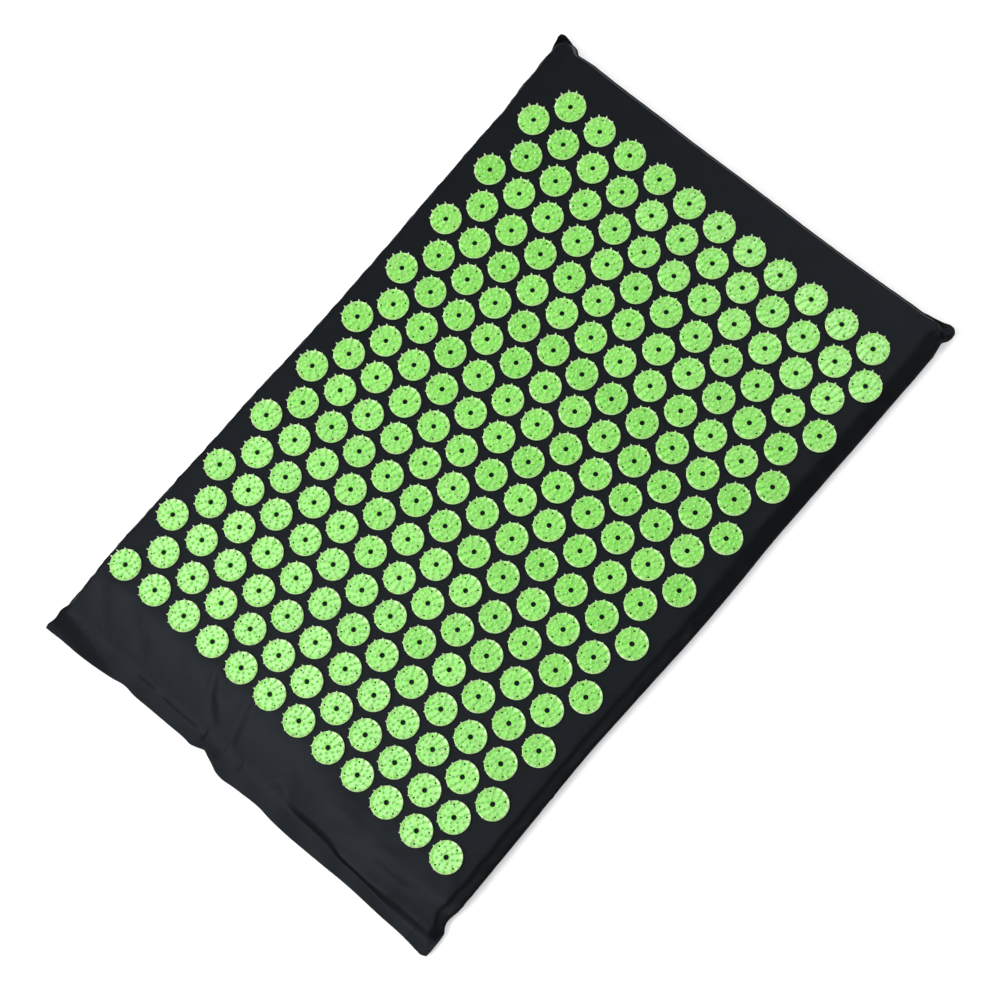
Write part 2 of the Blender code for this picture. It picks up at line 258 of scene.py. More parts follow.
def seam_height(v):
    """Height of the seam's upper side: low at the closing hem, halfway up the pad elsewhere."""
    return BAND_SKIN_Z + (SEAM_SKIN_Z - BAND_SKIN_Z) * smooth(v, HINGE_EDGE_Y, HINGE_EDGE_Y + FOOT_BLEND)


def wall(share):
    """A straight slope with a rounded shoulder: about 1 from share 1 on."""
    s = np.maximum(share, 0) / 0.88
    return 0.5 * (s + 1 - np.sqrt((s - 1) ** 2 + 0.03)) + 0.0075


def ramp_between(value, start, end, soft=0.012):
    """From 0 to 1 at an even rate, with rounded ends."""
    q = (value - start) / (end - start)
    return 0.5 * (np.sqrt(q * q + soft) - np.sqrt((q - 1) ** 2 + soft) + 1)


def pinch(x, y):
    """The place where the closing hem is pinched up, as a share of its height."""
    return np.exp(-((x + 0.038) / 0.008) ** 2 - ((y + 0.327) / 0.009) ** 2)


def corner_form(u, v, x, y):
    """What both cloths do in the tabs at the head: a crease at the left, a curled edge at the right."""
    out = -inside(u, v)
    at_left = smooth(-u, 0.184, 0.196) * smooth(v, 0.307, 0.319)
    rim = 0.0020 * smooth(out, 0.0030, 0.0070)
    crease = 0.0030 * np.exp(-((out - 0.0016) / 0.0022) ** 2)
    return at_left * (rim - crease) + fold(x, y, *CURLED_EDGE) * (u > 0) * (v > 0)


def top_skin(u, v):
    """Outer face of the upper cloth, from seam to seam and on over the closing hem."""
    x, y = on_outline(u, v)
    reach = inside(u, v)

    # Wall over the pad's sides: steep at the left and at the head, sloped along the right side
    on_right = smooth(u, 0, 0.10) * smooth(u - v + HEAD_Y - HALF_WIDTH, -0.006, 0.012)
    shoulder = STEEP_WALL + (SLOPED_WALL - STEEP_WALL + 0.0046 * smooth(v, -0.06, 0.10)) * on_right
    gather = 1 + 0.10 * wander(v, u * 0, 0.016, 3) * (1 - smooth(reach, 0.004, 0.014))
    side = wall((reach - LIP) / shoulder * gather)

    # Slope over the pad's end: gentle on the left half, a step along a line on the right half
    gentle = ramp_between(v, HINGE_EDGE_Y - 0.002, HINGE_EDGE_Y + 0.044)
    line = through(STEP_LINE, u)
    wide = 0.0032 - 0.0012 * window(u, 0.103, 0.146, 0.006) + 0.0016 * smooth(u, 0.150, 0.172)
    t = np.clip((v - line + wide) / (2 * wide), 0, 1)
    part = 0.42 - 0.20 * smooth(u, 0.150, 0.176)
    beyond = ramp_between(v, line + 0.002, HINGE_EDGE_Y + 0.026)
    steep = part * (1.5 * t ** 2 - 0.5 * t ** 4) + (1 - part) * beyond
    foot = gentle + (steep - gentle) * smooth(u, 0.034, 0.078)
    base = seam_height(v)
    z = base + (PAD_TOP - base) * side * foot
    z = z + 0.0004 * smooth(reach, 0, LIP) * smooth(v, HINGE_EDGE_Y, HINGE_EDGE_Y + 0.01)

    # Folds in the plain cloth between the discs and the hem, and the pinch in the hem
    plain = 1 - smooth(v, -0.272, -0.262)
    z = z + plain * sum(fold(x, y, *shape) for shape in PLAIN_FOLDS)
    z = z + sum(fold(x, y, *shape) for shape in HEM_FOLDS)
    z = z + PINCH_HEIGHT * pinch(x, y)

    # Two short tucks where the stitching pulls, and the left end of the hem, which turns up
    stitched = window(x, -0.126, -0.107, 0.003) + window(x, -0.097, -0.057, 0.003)
    z = z - 0.0005 * stitched * np.exp(-((y + 0.3180) / 0.0008) ** 2)
    curl = -0.3212 - 0.0100 * smooth(x, -0.208, -0.145)
    z = z + 0.0046 * (1 - smooth(x, -0.165, -0.135)) * ramp_between(curl - y, -0.001, 0.0125, 0.02)

    # Corner tabs at the head, the right one a round knob
    raised = (u > 0) * (v > 0)
    z = z + corner_form(u, v, x, y) + fold(x, y, *KNOB_CREASE) * raised
    z = z + 0.0026 * np.exp(-(np.hypot(x - 0.2136, y - 0.3308) / 0.0042) ** 4) * raised

    # Unevenness of cloth over foam, and gathers along the seam
    loose = 0.35 + 0.65 * (plain + smooth(v, 0.292, 0.300))
    uneven = 0.00022 * wander(x, y, 0.055, 5) + 0.00010 * wander(x, y, 0.022, 6)
    z = z + (loose * uneven - 0.00035) * side * foot
    lip = 1 - smooth(reach, 0.001, 0.006)
    z = z + 0.00016 * lip * wander(x, y, 0.010, 8)
    x = x + 0.00022 * lip * np.sign(u) * wander(v, u * 0, 0.011, 9) * (np.abs(u) > 0.19)
    hem = 1 - smooth(v, HINGE_EDGE_Y - 0.004, HINGE_EDGE_Y + 0.004)
    z = z + hem * 0.00018 * wander(x, y, 0.030, 10)
    return np.stack([x, y, z], -1)


def under_skin(u, v):
    """Outer face of the lower cloth, flat where it lies."""
    x, y = on_outline(u, v)
    reach = inside(u, v)

    # Raised along the seam and at both ends of the hem, flat on the ground elsewhere
    at_edge = seam_height(v) - 2 * CLOTH - GAP
    side = 1 - (1 - (1 - np.clip((reach - LIP) / 0.0080, 0, 1)) ** 1.6) ** 0.625
    at_foot = 1 - smooth(v, HINGE_EDGE_Y + 0.002, HINGE_EDGE_Y + FOOT_BLEND)
    ends = smooth(np.abs(u), FLAP_HALF, HALF_WIDTH)
    z = at_edge * (side * (1 - at_foot) + ends * at_foot)
    z = z + PINCH_LIFT * pinch(x, y)

    # Creases away from the seam, and what both cloths share in the tabs and gathers
    creases = wander(x, y, 0.050, 12) + 0.5 * wander(x, y, 0.021, 13)
    z = z + 0.00016 * np.maximum(creases + 0.4, 0) * (1 - side)
    z = z + corner_form(u, v, x, y)
    z = z + 0.00016 * (1 - smooth(reach, 0.001, 0.006)) * wander(x, y, 0.010, 8)
    z = z + fold(x, y, *KNOB_CREASE) * (1 - smooth(reach, 0.002, 0.005)) * (u > 0) * (v > 0)
    return np.stack([x, y, np.maximum(z, 0) + 0.00005], -1)


# Grid lines of the cloth, close together at walls and folds
def from_edge(shoulder, steps):
    """Distances from the seam, closer together near it."""
    return np.concatenate([[0, LIP / 2], LIP + shoulder * (np.arange(steps + 1) / steps) ** 1.4])


def spread_lines(start, stop, step):
    count = max(2, round((stop - start) / step) + 1)
    return np.linspace(start, stop, count)[1:-1]


def across_lines(step, fine):
    edge = from_edge(*SIDE_LINES)
    slot = FLAP_HALF + GAP
    right = np.concatenate([HALF_WIDTH - edge, [slot]])
    middle = np.concatenate([
        spread_lines(-slot, FINE_LEFT_X, step), [FINE_LEFT_X],
        spread_lines(FINE_LEFT_X, FINE_RIGHT_X, fine), [FINE_RIGHT_X],
        spread_lines(FINE_RIGHT_X, slot, step),
    ])
    return np.sort(np.concatenate([-right, middle, right]))


def along_lines(step, fine):
    edge = from_edge(*HEAD_LINES)
    start = HINGE_EDGE_Y - GAP
    foot = np.concatenate([[FOOT_Y, FOOT_Y + 0.0006], spread_lines(FOOT_Y + 0.0006, start, FINE_GRID)])
    slope = np.concatenate([[start], spread_lines(start, FINE_UP_TO_Y, fine), [FINE_UP_TO_Y]])
    field = spread_lines(FINE_UP_TO_Y, HEAD_Y - edge[-1], step)
    return np.sort(np.concatenate([foot, slope, field, HEAD_Y - edge]))


def lengths_along(points, axis, origin):
    """Length along the grid's lines in one direction, so that a weave isn't stretched on slopes."""
    steps = np.linalg.norm(np.diff(points, axis=axis), axis=-1)
    total = np.concatenate([np.zeros_like(np.take(steps, [0], axis)), np.cumsum(steps, axis)], axis)
    return total - np.take(total, [origin], axis)


def normals_of(points):
    across = np.gradient(points, axis=1)
    along = np.gradient(points, axis=0)
    normal = np.cross(across, along)
    return normal / np.maximum(np.linalg.norm(normal, axis=-1, keepdims=True), 1e-12)


def add_mesh(name, points, faces, material, smooth_angle=None):
    mesh = bpy.data.meshes.new(name)
    mesh.from_pydata(np.asarray(points).tolist(), [], faces)
    mesh.validate()
    mesh.materials.append(material)
    mesh.shade_smooth()
    if smooth_angle is not None:
        mesh.set_sharp_from_angle(angle=math.radians(smooth_angle))
    obj = bpy.data.objects.new(name, mesh)
    bpy.context.scene.collection.objects.link(obj)
    return obj


def add_values(obj, name, values, kind="FLOAT"):
    attribute = obj.data.attributes.new(name, kind, "POINT")
    key = "vector" if kind == "FLOAT_VECTOR" else "value"
    attribute.data.foreach_set(key, np.asarray(values, np.float32).ravel())


def closed_cloth(name, outer, inner, weave, material, keep=None, rim=0.0003):
    """A closed piece between two grids of points, with a rounded rim round it and round its cut-outs."""
    rows, columns = outer.shape[:2]
    keep = np.ones((rows - 1, columns - 1), bool) if keep is None else keep
    index = np.arange(rows * columns).reshape(rows, columns)
    quads = np.stack([index[:-1, :-1], index[:-1, 1:], index[1:, 1:], index[1:, :-1]], -1)[keep]
    count = rows * columns
    edges = np.concatenate([quads[:, [k, (k + 1) % 4]] for k in range(4)])
    key = edges[:, 0] * count + edges[:, 1]
    border = edges[~np.isin(key, edges[:, 1] * count + edges[:, 0])]
    flat_outer = outer.reshape(-1, 3)
    flat_inner = inner.reshape(-1, 3)
    normal = flat_outer - flat_inner
    normal = normal / np.maximum(np.linalg.norm(normal, axis=1, keepdims=True), 1e-12)
    outward = np.zeros_like(flat_outer)
    way = np.cross(flat_outer[border[:, 1]] - flat_outer[border[:, 0]], normal[border[:, 0]])
    way /= np.maximum(np.linalg.norm(way, axis=1, keepdims=True), 1e-12)
    np.add.at(outward, border[:, 0], way)
    np.add.at(outward, border[:, 1], way)
    on_border = np.unique(border)
    length = np.linalg.norm(outward[on_border], axis=1, keepdims=True)
    middle = (flat_outer[on_border] + flat_inner[on_border]) / 2
    middle += outward[on_border] / np.maximum(length, 1e-12) * rim
    place = np.full(count, -1)
    place[on_border] = 2 * count + np.arange(len(on_border))
    a, b = border[:, 0], border[:, 1]
    walls = np.concatenate([
        np.stack([b, a, place[a], place[b]], 1),
        np.stack([place[b], place[a], a + count, b + count], 1),
    ])
    faces = np.concatenate([quads, quads[:, ::-1] + count, walls])
    points = np.concatenate([flat_outer, flat_inner, middle])
    flat_weave = weave.reshape(-1, 3)
    values = np.concatenate([flat_weave, flat_weave, flat_weave[on_border]])
    used = np.unique(faces)
    renumber = np.full(len(points), -1)
    renumber[used] = np.arange(len(used))
    obj = add_mesh(name, points[used], renumber[faces].tolist(), material, SHARP_FROM)
    add_values(obj, "weave", values[used], "FLOAT_VECTOR")
    return obj


# Materials
def new_material(name):
    material = bpy.data.materials.new(name)
    material.use_nodes = True
    tree = material.node_tree
    return material, tree, tree.nodes["Principled BSDF"]


def node(tree, kind, values=None, **settings):
    made = tree.nodes.new(kind)
    for key, value in settings.items():
        setattr(made, key, value)
    for key, value in (values or {}).items():
        made.inputs[key].default_value = value
    return made


def attribute(tree, name, output="Fac"):
    return node(tree, "ShaderNodeAttribute", attribute_name=name, attribute_type="GEOMETRY").outputs[output]


def math_node(tree, operation, first, second=None, third=None):
    made = node(tree, "ShaderNodeMath", operation=operation)
    for slot_index, value in enumerate((first, second, third)):
        if value is None:
            continue
        if isinstance(value, (int, float)):
            made.inputs[slot_index].default_value = value
        else:
            tree.links.new(value, made.inputs[slot_index])
    return made.outputs[0]


def noise(tree, vector, scale, detail=3.0, roughness=0.5):
    made = node(tree, "ShaderNodeTexNoise", {"Scale": scale, "Detail": detail, "Roughness": roughness})
    tree.links.new(vector, made.inputs["Vector"])
    return made.outputs["Fac"]


def scaled(tree, vector, factors):
    made = node(tree, "ShaderNodeVectorMath", {1: factors}, operation="MULTIPLY")
    tree.links.new(vector, made.inputs[0])
    return made.outputs[0]


def ramp(tree, fac, stops):
    made = node(tree, "ShaderNodeValToRGB")
    tree.links.new(fac, made.inputs["Fac"])
    elements = made.color_ramp.elements
    while len(elements) < len(stops):
        elements.new(0.5)
    for element, (place, color) in zip(elements, stops):
        element.position = place
        element.color = (*color, 1.0)
    return made.outputs["Color"]


def mixed(tree, fac, first, second, blend="MIX"):
    made = node(tree, "ShaderNodeMix", data_type="RGBA", blend_type=blend)
    for key, value in ((0, fac), (6, first), (7, second)):
        if isinstance(value, (int, float)):
            made.inputs[key].default_value = value
        elif isinstance(value, tuple):
            made.inputs[key].default_value = (*value, 1.0)
        else:
            tree.links.new(value, made.inputs[key])
    return made.outputs[2]


def bump(tree, height, strength, distance, under=None):
    made = node(tree, "ShaderNodeBump", {"Strength": strength, "Distance": distance})
    tree.links.new(height, made.inputs["Height"])
    if under is not None:
        tree.links.new(under, made.inputs["Normal"])
    return made.outputs[0]


def weave_height(tree, vector, thread):
    """Plain weave of uneven yarn: hills where a thread passes over, from -1 to 1."""
    wobble = noise(tree, vector, 260.0, 2.0)
    parts = node(tree, "ShaderNodeSeparateXYZ")
    tree.links.new(vector, parts.inputs[0])
    turn = math.pi / thread
    waves = []
    for axis in (0, 1):
        moved = math_node(tree, "MULTIPLY_ADD", wobble, thread * 0.5, parts.outputs[axis])
        waves.append(math_node(tree, "SINE", math_node(tree, "MULTIPLY", moved, turn)))
    return math_node(tree, "MULTIPLY", waves[0], waves[1])


def cloth_material(name, dark, light, thread, sheen):
    material, tree, shader = new_material(name)
    place = attribute(tree, "weave", "Vector")
    height = weave_height(tree, place, thread)
    slubs = noise(tree, scaled(tree, place, (55.0, 900.0, 1.0)), 1.0, 2.0)
    cross_slubs = noise(tree, scaled(tree, place, (900.0, 55.0, 1.0)), 1.0, 2.0)
    clouds = noise(tree, place, 16.0, 4.0, 0.55)
    wisps = noise(tree, scaled(tree, place, (90.0, 60.0, 1.0)), 1.0, 4.0, 0.6)
    tone = 0.02
    shares = ((height, 0.16), (slubs, 0.30), (cross_slubs, 0.30), (clouds, 0.22), (wisps, 0.16))
    for source, share in shares:
        tone = math_node(tree, "MULTIPLY_ADD", source, share, tone)
    tree.links.new(ramp(tree, tone, ((0.2, dark), (0.8, light))), shader.inputs["Base Color"])
    rough = math_node(tree, "MULTIPLY_ADD", height, 0.03, 0.45)
    tree.links.new(rough, shader.inputs["Roughness"])
    shader.inputs["Specular IOR Level"].default_value = 0.135
    shader.inputs["Specular Tint"].default_value = (0.74, 0.87, 1.0, 1.0)
    shader.inputs["Sheen Weight"].default_value = sheen
    shader.inputs["Sheen Roughness"].default_value = 0.5
    shader.inputs["Sheen Tint"].default_value = (0.72, 0.80, 1.0, 1.0)
    grain = bump(tree, math_node(tree, "MULTIPLY_ADD", slubs, 0.8, height), 0.3, 0.00012)
    tree.links.new(bump(tree, wisps, 0.5, 0.0006, grain), shader.inputs["Normal"])
    return material


def plastic_material():
    material, tree, shader = new_material("disc_plastic_moulded")
    place = node(tree, "ShaderNodeTexCoord").outputs["Object"]
    rise = attribute(tree, "rise")
    mottle = noise(tree, place, 420.0, 3.0, 0.6)
    cloud = noise(tree, place, 60.0, 2.0)
    level = 0.10
    for source, share in ((attribute(tree, "tone"), 0.34), (mottle, 0.42), (cloud, 0.25)):
        level = math_node(tree, "MULTIPLY_ADD", source, share, level)
    greens = ((0.25, (0.204, 0.608, 0.076)), (0.55, (0.242, 0.670, 0.098)), (0.85, (0.280, 0.721, 0.127)))
    body = ramp(tree, level, greens)
    # Painted highlight: the spikes turn paler up their flanks, to offset the shade on their steep sides
    painted_tip_highlight = node(tree, "ShaderNodeMapRange", {1: 0.0016, 2: 0.0052, 3: 0.0, 4: 0.9})
    tree.links.new(rise, painted_tip_highlight.inputs[0])
    # Painted highlight: the rim bead is mixed towards pale green, as a lit edge
    body = mixed(tree, math_node(tree, "MULTIPLY", attribute(tree, "edge"), 0.9), body, (0.56, 0.90, 0.38))
    tips = mixed(tree, painted_tip_highlight.outputs[0], body, (0.62, 0.93, 0.46))
    # Painted shade: the hole walls and the plate's lower sides are darkened towards deep green
    low = node(tree, "ShaderNodeMapRange", {1: 0.0012, 2: -0.0002, 3: 0.0, 4: 0.8})
    tree.links.new(rise, low.inputs[0])
    tree.links.new(mixed(tree, low.outputs[0], tips, (0.06, 0.28, 0.03)), shader.inputs["Base Color"])
    rough = math_node(tree, "MULTIPLY_ADD", mottle, 0.10, 0.23)
    tree.links.new(rough, shader.inputs["Roughness"])
    shader.inputs["Specular IOR Level"].default_value = 1.0
    shader.inputs["Subsurface Weight"].default_value = 0.80
    shader.inputs["Subsurface Radius"].default_value = (0.4, 1.0, 0.3)
    shader.inputs["Subsurface Scale"].default_value = 0.006
    tree.links.new(bump(tree, mottle, 0.2, 0.0002), shader.inputs["Normal"])
    return material


def foam_material():
    material, tree, shader = new_material("foam_cells")
    place = node(tree, "ShaderNodeTexCoord").outputs["Object"]
    cells = node(tree, "ShaderNodeTexVoronoi", {"Scale": 900.0})
    tree.links.new(place, cells.inputs["Vector"])
    shade = math_node(tree, "MULTIPLY", noise(tree, place, 30.0, 3.0), 0.5)
    level = math_node(tree, "MULTIPLY_ADD", cells.outputs["Distance"], 0.5, shade)
    color = ramp(tree, level, ((0.2, (0.50, 0.47, 0.38)), (0.7, (0.80, 0.77, 0.68))))
    tree.links.new(color, shader.inputs["Base Color"])
    shader.inputs["Roughness"].default_value = 0.95
    tree.links.new(bump(tree, cells.outputs["Distance"], 0.7, 0.0004), shader.inputs["Normal"])
    return material


def tape_material(name, dark, light, roughness, shine=0.3):
    material, tree, shader = new_material(name)
    place = node(tree, "ShaderNodeTexCoord").outputs["Object"]
    fuzz = noise(tree, place, 700.0, 4.0, 0.7)
    rib = noise(tree, scaled(tree, place, (1400.0, 120.0, 120.0)), 1.0, 1.0)
    level = math_node(tree, "MULTIPLY_ADD", fuzz, 0.6, math_node(tree, "MULTIPLY", rib, 0.4))
    tree.links.new(ramp(tree, level, ((0.3, dark), (0.7, light))), shader.inputs["Base Color"])
    shader.inputs["Roughness"].default_value = roughness
    shader.inputs["Specular IOR Level"].default_value = shine
    tree.links.new(bump(tree, level, 0.6, 0.0003), shader.inputs["Normal"])
    return material


cover_cloth = cloth_material(
    "cover_cloth_woven", dark=(0.0008, 0.0010, 0.0013), light=(0.0024, 0.0028, 0.0036),
    thread=0.00055, sheen=0.01,
)
thread_black = tape_material("sewing_thread", (0.0020, 0.0023, 0.0028), (0.0060, 0.0066, 0.0080), 0.65, 0.1)
disc_plastic = plastic_material()
foam_cells = foam_material()
hook_nylon = tape_material("hook_nylon", (0.006, 0.006, 0.008), (0.020, 0.020, 0.023), 0.50)
loop_nylon = tape_material("loop_nylon", (0.008, 0.008, 0.009), (0.030, 0.030, 0.033), 0.95)


# Upper cloth, with a slot for the closing hem between the foot tabs
u_lines = across_lines(TOP_GRID[0], FINE_GRID)
v_lines = along_lines(TOP_GRID[1], FINE_GRID)
grid_u, grid_v = np.meshgrid(u_lines, v_lines)
top_points = top_skin(grid_u, grid_v)
middle_u = np.abs(u_lines).argmin()
middle_v = np.abs(v_lines).argmin()
top_weave = np.stack([
    lengths_along(top_points, 1, middle_u), lengths_along(top_points, 0, middle_v), np.zeros(grid_u.shape),
], -1)
centre_u = (grid_u[:-1, :-1] + grid_u[1:, 1:]) / 2
centre_v = (grid_v[:-1, :-1] + grid_v[1:, 1:]) / 2
keep = ~((np.abs(centre_u) < FLAP_HALF + GAP) & (centre_v < HINGE_EDGE_Y - GAP))
top_cloth = closed_cloth(
    "cover_top_cloth", top_points, top_points - normals_of(top_points) * CLOTH, top_weave,
    cover_cloth, keep,
)
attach(top_cloth, "cover")
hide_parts("cover_top_panel")

# Lower cloth
u_lines = across_lines(LOW_GRID[0], LOW_GRID[0])
v_lines = along_lines(LOW_GRID[1], LOW_SLOPE_GRID)
grid_u, grid_v = np.meshgrid(u_lines, v_lines)
under_points = under_skin(grid_u, grid_v)
under_weave = np.stack([grid_u, grid_v, np.full(grid_u.shape, 0.5)], -1)
under_cloth = closed_cloth(
    "cover_bottom_cloth", under_points + normals_of(under_points) * CLOTH, under_points, under_weave,
    cover_cloth,
)
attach(under_cloth, "cover")
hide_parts("cover_bottom_panel")

# Closing hem: the folded edge of the upper cloth, from the foot to just past the hinge line
hem_reach = FLAP_HALF + HEM_LAP
hem_u = np.concatenate([
    np.linspace(-hem_reach, -FLAP_HALF, 4)[:-1], np.linspace(-FLAP_HALF, FLAP_HALF, 300),
    np.linspace(FLAP_HALF, hem_reach, 4)[1:],
])
hem_v = np.concatenate([
    np.linspace(HINGE_EDGE_Y + HEM_TUCK, HINGE_EDGE_Y - GAP, 6),
    np.linspace(HINGE_EDGE_Y - GAP, HEM_FINE_TO_Y, 13)[1:],
    np.linspace(HEM_FINE_TO_Y, FOOT_Y, 12)[1:],
])[::-1]
grid_u, grid_v = np.meshgrid(hem_u, hem_v)
hem_points = top_skin(grid_u, grid_v)
lapped = smooth(np.abs(grid_u), FLAP_HALF - HEM_LAP, FLAP_HALF)
tucked = smooth(grid_v, HINGE_EDGE_Y + 0.0002, HINGE_EDGE_Y + HEM_TUCK) * (1 - lapped)
hem_points[..., 2] += 0.0001 + 0.0002 * lapped - 0.0006 * tucked
thin = np.maximum(smooth(grid_v, HINGE_EDGE_Y - 0.004, HINGE_EDGE_Y - GAP), lapped)
thickness = HEM_THICKNESS - HEM_THINNED * thin
hem_weave = np.stack([grid_u, grid_v - 0.0035, np.zeros(grid_u.shape)], -1)
hem = closed_cloth(
    "closing_hem", hem_points, hem_points - normals_of(hem_points) * thickness[..., None], hem_weave,
    cover_cloth, rim=0.0002,
)
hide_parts("closure_flap")
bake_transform(hem)

# Foam pad, inside the cover
foam_u = across_lines(FOAM_GRID[0], FOAM_GRID[0])
foam_v = along_lines(FOAM_GRID[1], FOAM_SLOPE_GRID)
foam_u = foam_u[np.abs(foam_u) <= HALF_WIDTH - FOAM_INSET]
foam_v = foam_v[(foam_v > HINGE_EDGE_Y + FOAM_FROM_HINGE) & (foam_v < HEAD_Y - FOAM_INSET)]
grid_u, grid_v = np.meshgrid(foam_u, foam_v)
foam_top = top_skin(grid_u, grid_v)
flat_top = PAD_TOP - CLOTH - GAP - FOAM_TOP_PLAY
foam_top[..., 2] = np.minimum(foam_top[..., 2] - FOAM_UNDER_SKIN, flat_top)
foam_low = under_skin(grid_u, grid_v)
foam_low[..., 2] += CLOTH + FOAM_LOW_PLAY
foam_top[..., 2] = np.maximum(foam_top[..., 2], foam_low[..., 2] + FOAM_THINNEST)
centre_u = (grid_u[:-1, :-1] + grid_u[1:, 1:]) / 2
centre_v = (grid_v[:-1, :-1] + grid_v[1:, 1:]) / 2
keep = inside(centre_u, centre_v) > FOAM_FROM_CORNER
foam_weave = np.stack([grid_u, grid_v, grid_u * 0], -1)
foam = closed_cloth(
    "foam_slab", foam_top, foam_low, foam_weave, foam_cells, keep, rim=0.0012,
)
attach(foam, "cover")
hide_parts("foam_pad")


# Spiked disc: plate with a bead round its rim, a raised ring round its hole, four small holes and
# tapered spikes. Rings of spikes: how many, how far out their feet and their tips are.
SPIKE_RINGS = ((12, 0.0115, 0.0138), (9, 0.0084, 0.0086), (6, 0.0049, 0.0050))
PLATE_TOP = 0.0015
PLATE_LOW = -0.0004
# Radius in millimetres, height above the plate in metres
SPIKE_PROFILE = ((1.28, 0.0), (1.18, 0.0005), (1.02, 0.0018), (0.72, 0.0034), (0.34, 0.0046))
SPIKE_TIP = 0.0050
SPIKE_SIDES = 6
SMALL_HOLES = 4
SMALL_HOLE_CIRCLE = 0.0106
SMALL_HOLE_TOP = 0.00092
SMALL_HOLE_LOW = 0.00074
SMALL_HOLE_SIDES = 8
RIM_SIDES = 40
EYE_SIDES = 16
RIM_PROFILE = (
    (0.0132, PLATE_LOW), (0.01355, 0.0), (0.0137, 0.0005), (0.0137, 0.0010), (0.01358, 0.00145),
    (0.01337, 0.00165), (0.01308, 0.00163), (0.0129, PLATE_TOP),
)
EYE_PROFILE = (
    (0.0033, PLATE_TOP), (0.0030, 0.0019), (0.0026, 0.0020), (0.00228, 0.0017), (0.0022, PLATE_LOW),
)


def ring(radius, height, count, centre=(0.0, 0.0), turn=0.0):
    angles = turn + 2 * math.pi * np.arange(count) / count
    x = centre[0] + radius * np.cos(angles)
    y = centre[1] + radius * np.sin(angles)
    return np.stack([x, y, np.full(count, height)], 1)


def opening(radius, sides, centre=(0.0, 0.0)):
    """A round opening, as far as the middles of its sides reach."""
    return (*centre, radius * math.cos(math.pi / sides))


def disc_shape():
    """Points and faces of one spiked disc, about its own middle."""
    points, faces = [], []

    def add(new):
        start = sum(len(p) for p in points)
        points.append(np.atleast_2d(new))
        return list(range(start, start + len(points[-1])))

    def bridge(lower, upper):
        for i in range(len(lower)):
            j = (i + 1) % len(lower)
            faces.append((lower[i], lower[j], upper[j], upper[i]))

    def fill(loops, holes, upward):
        """A flat face between loops, with round openings given as (x, y, radius)."""
        everything = np.concatenate(points)
        order = [i for loop in loops for i in loop]
        where = {index: k for k, index in enumerate(order)}
        flat = [Vector(everything[i, :2] * 1000) for i in order]
        edges = [(where[a], where[b]) for loop in loops for a, b in zip(loop, loop[1:] + loop[:1])]
        _, _, triangles, originals, _, _ = delaunay_2d_cdt(flat, edges, [], 0, 1e-6)
        back = [o[0] for o in originals]
        for triangle in triangles:
            corners = [order[back[i]] for i in triangle]
            middle = everything[corners, :2].mean(0)
            if any(math.hypot(middle[0] - x, middle[1] - y) < r for x, y, r in holes):
                continue
            a, b, c = everything[corners, :2]
            turned = (b[0] - a[0]) * (c[1] - a[1]) - (b[1] - a[1]) * (c[0] - a[0]) > 0
            faces.append(tuple(corners if turned == upward else corners[::-1]))

    rim = [add(ring(r, z, RIM_SIDES)) for r, z in RIM_PROFILE]
    for lower, upper in zip(rim, rim[1:]):
        bridge(lower, upper)
    eye = [add(ring(r, z, EYE_SIDES)) for r, z in EYE_PROFILE]
    for outer_ring, inner_ring in zip(eye, eye[1:]):
        bridge(outer_ring, inner_ring)
    top_loops, low_loops = [rim[-1], eye[0]], [rim[0], eye[-1]]
    top_holes = [opening(EYE_PROFILE[0][0], EYE_SIDES)]
    low_holes = [opening(EYE_PROFILE[-1][0], EYE_SIDES)]
    for index in range(SMALL_HOLES):
        angle = 2 * math.pi * index / SMALL_HOLES
        centre = (SMALL_HOLE_CIRCLE * math.cos(angle), SMALL_HOLE_CIRCLE * math.sin(angle))
        upper = add(ring(SMALL_HOLE_TOP, PLATE_TOP, SMALL_HOLE_SIDES, centre))
        lower = add(ring(SMALL_HOLE_LOW, PLATE_LOW, SMALL_HOLE_SIDES, centre))
        bridge(upper, lower)
        top_loops.append(upper)
        low_loops.append(lower)
        top_holes.append(opening(SMALL_HOLE_TOP, SMALL_HOLE_SIDES, centre))
        low_holes.append(opening(SMALL_HOLE_LOW, SMALL_HOLE_SIDES, centre))
    for count, foot, tip in SPIKE_RINGS:
        for index in range(count):
            angle = 2 * math.pi * (index + 0.5) / count
            way = np.array([math.cos(angle), math.sin(angle)])
            loops = []
            for radius, height in SPIKE_PROFILE:
                centre = way * (foot + (tip - foot) * height / SPIKE_TIP)
                loops.append(add(ring(radius / 1000, PLATE_TOP + height, SPIKE_SIDES, centre, angle)))
            for lower, upper in zip(loops, loops[1:]):
                bridge(lower, upper)
            peak = add(np.array([*(way * tip), PLATE_TOP + SPIKE_TIP]))[0]
            last = loops[-1]
            faces.extend((a, b, peak) for a, b in zip(last, last[1:] + last[:1]))
            top_loops.append(loops[0])
            top_holes.append(opening(SPIKE_PROFILE[0][0] / 1000, SPIKE_SIDES, way * foot))
    fill(top_loops, top_holes, True)
    fill(low_loops, low_holes, False)
    return np.concatenate(points), faces


# How far the cloth has carried the discs from a regular field, in millimetres: powers of x down, of
# y across
CARRIED_X = (
    (-1.03, -0.11, 4.33, 0.37, -1.27), (-1.76, -1.59, 4.15, 2.0, 0), (1.89, 0.21, -4.37, 0, 0),
    (1.83, 0.78, 0, 0, 0), (-1.53, 0, 0, 0, 0),
)
CARRIED_Y = (
    (0.32, -0.10, -0.96, -0.94, 0.91), (0.54, 2.93, 0.05, -3.71, 0), (-0.76, 1.34, -0.03, 0, 0),
    (-0.08, -1.83, 0, 0, 0), (0.46, 0, 0, 0, 0),
)


